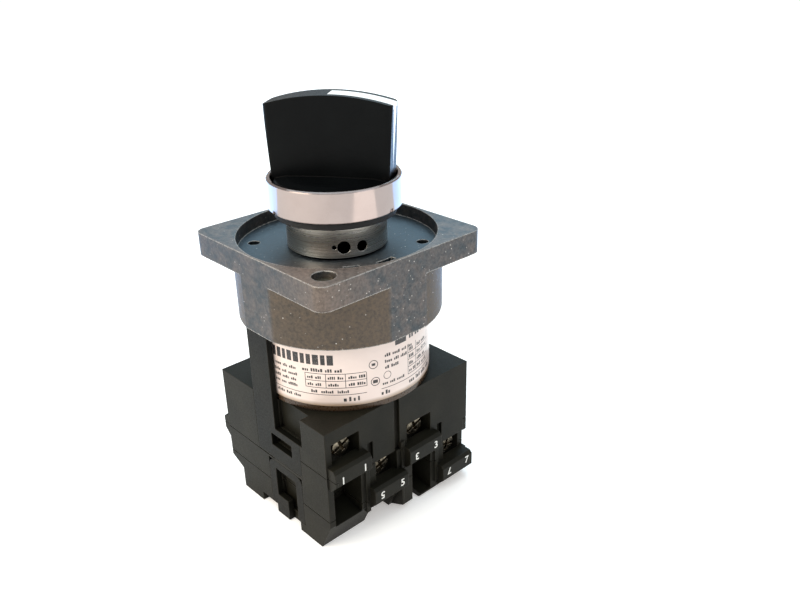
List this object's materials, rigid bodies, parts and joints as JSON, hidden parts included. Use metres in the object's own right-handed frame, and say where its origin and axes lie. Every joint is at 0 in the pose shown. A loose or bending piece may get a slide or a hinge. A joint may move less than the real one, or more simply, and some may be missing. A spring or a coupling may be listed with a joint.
{
  "type": "rotary cam switch",
  "caption": "Rotary cam switch with a bladed handle, chrome bezel, square die-cast adaptor and a block of staggered screw terminals.",
  "frame": {"origin": "centre of the rear face of the contact block, on the turning axis", "axes": "+Z along the turning axis towards the handle; +X and -X are the terminal sides; -Y and +Y are the latch sides"},
  "size_m": [0.045, 0.045, 0.0954],
  "materials": {
    "handle_black": "satin black moulded handle",
    "pointer_white": "white moulded inlay",
    "chrome": "bright chrome plating",
    "gasket_black": "matt black rubber",
    "bare_metal": "turned bare metal, warm tone",
    "spindle_metal": "turned",
    "casting": "raw die-cast metal, speckled",
    "zinc_steel": "dull plated steel",
    "drum_plastic": "black moulded",
    "label_paper": "white label, semi gloss",
    "cam_plastic": "natural moulded",
    "spring_steel": "bright",
    "block_plastic": "charcoal moulded, fine grain",
    "latch_plastic": "charcoal moulded",
    "plunger_plastic": "ivory moulded",
    "contact_metal": "punched",
    "terminal_brass": "punched, dull",
    "nickel_steel": "nickel plated"
  },
  "bodies": {
    "housing": {"bezel_ring": "chrome", "bezel_gasket": "gasket_black", "head_barrel": "bare_metal", "adaptor_casting": "casting", "clamp_screws": "zinc_steel", "drum_cover": "drum_plastic", "rating_label": "label_paper", "detent_frame": "drum_plastic", "detent_rollers": "spring_steel", "detent_slides": "cam_plastic", "detent_springs": "spring_steel", "upper_body": "block_plastic", "lower_body": "block_plastic", "rear_cover": "block_plastic", "latch_arm_front": "latch_plastic", "latch_arm_back": "latch_plastic", "rear_clip_front": "latch_plastic", "rear_clip_back": "latch_plastic", "terminal_1": "terminal_brass", "terminal_2": "terminal_brass", "terminal_3": "terminal_brass", "terminal_4": "terminal_brass", "terminal_5": "terminal_brass", "terminal_6": "terminal_brass", "terminal_7": "terminal_brass", "terminal_8": "terminal_brass", "wire_clamps": "nickel_steel", "terminal_screws": "nickel_steel", "tie_screws": "nickel_steel"},
    "handle_shaft": {"handle": "handle_black", "pointer_inlay": "pointer_white", "head_spindle": "spindle_metal", "cam_shaft": "cam_plastic", "detent_wheel": "cam_plastic", "cam_1": "cam_plastic", "cam_2": "cam_plastic", "cam_3": "cam_plastic", "cam_4": "cam_plastic"},
    "contact_1": {"plunger_1": "plunger_plastic", "bridge_1": "contact_metal", "spring_1": "spring_steel"},
    "contact_2": {"plunger_2": "plunger_plastic", "bridge_2": "contact_metal", "spring_2": "spring_steel"},
    "contact_3": {"plunger_3": "plunger_plastic", "bridge_3": "contact_metal", "spring_3": "spring_steel"},
    "contact_4": {"plunger_4": "plunger_plastic", "bridge_4": "contact_metal", "spring_4": "spring_steel"}
  },
  "joints": [
    {"name": "handle_turn", "type": "hinge", "parent": "housing", "child": "handle_shaft", "pos_m": [0, 0, 0], "axis": [0, 0, 1], "range_deg": [0, 120]},
    {"name": "contact_1_slide", "type": "slide", "parent": "housing", "child": "contact_1", "axis": [0, -1, 0], "range_m": [0, 0.00201], "deforming": ["spring_1"]},
    {"name": "contact_2_slide", "type": "slide", "parent": "housing", "child": "contact_2", "axis": [0, 1, 0], "range_m": [-0.00201, 0], "deforming": ["spring_2"]},
    {"name": "contact_3_slide", "type": "slide", "parent": "housing", "child": "contact_3", "axis": [0, -1, 0], "range_m": [-0.00201, 0], "deforming": ["spring_3"]},
    {"name": "contact_4_slide", "type": "slide", "parent": "housing", "child": "contact_4", "axis": [0, 1, 0], "range_m": [0, 0.00201], "deforming": ["spring_4"]}
  ],
  "couplings": [
    {"joint": "contact_1_slide", "follows": "handle_turn", "m_per_rad": 0.00095493},
    {"joint": "contact_2_slide", "follows": "handle_turn", "m_per_rad": -0.00095493},
    {"joint": "contact_3_slide", "follows": "handle_turn", "m_per_rad": -0.00095493},
    {"joint": "contact_4_slide", "follows": "handle_turn", "m_per_rad": 0.00095493}
  ]
}
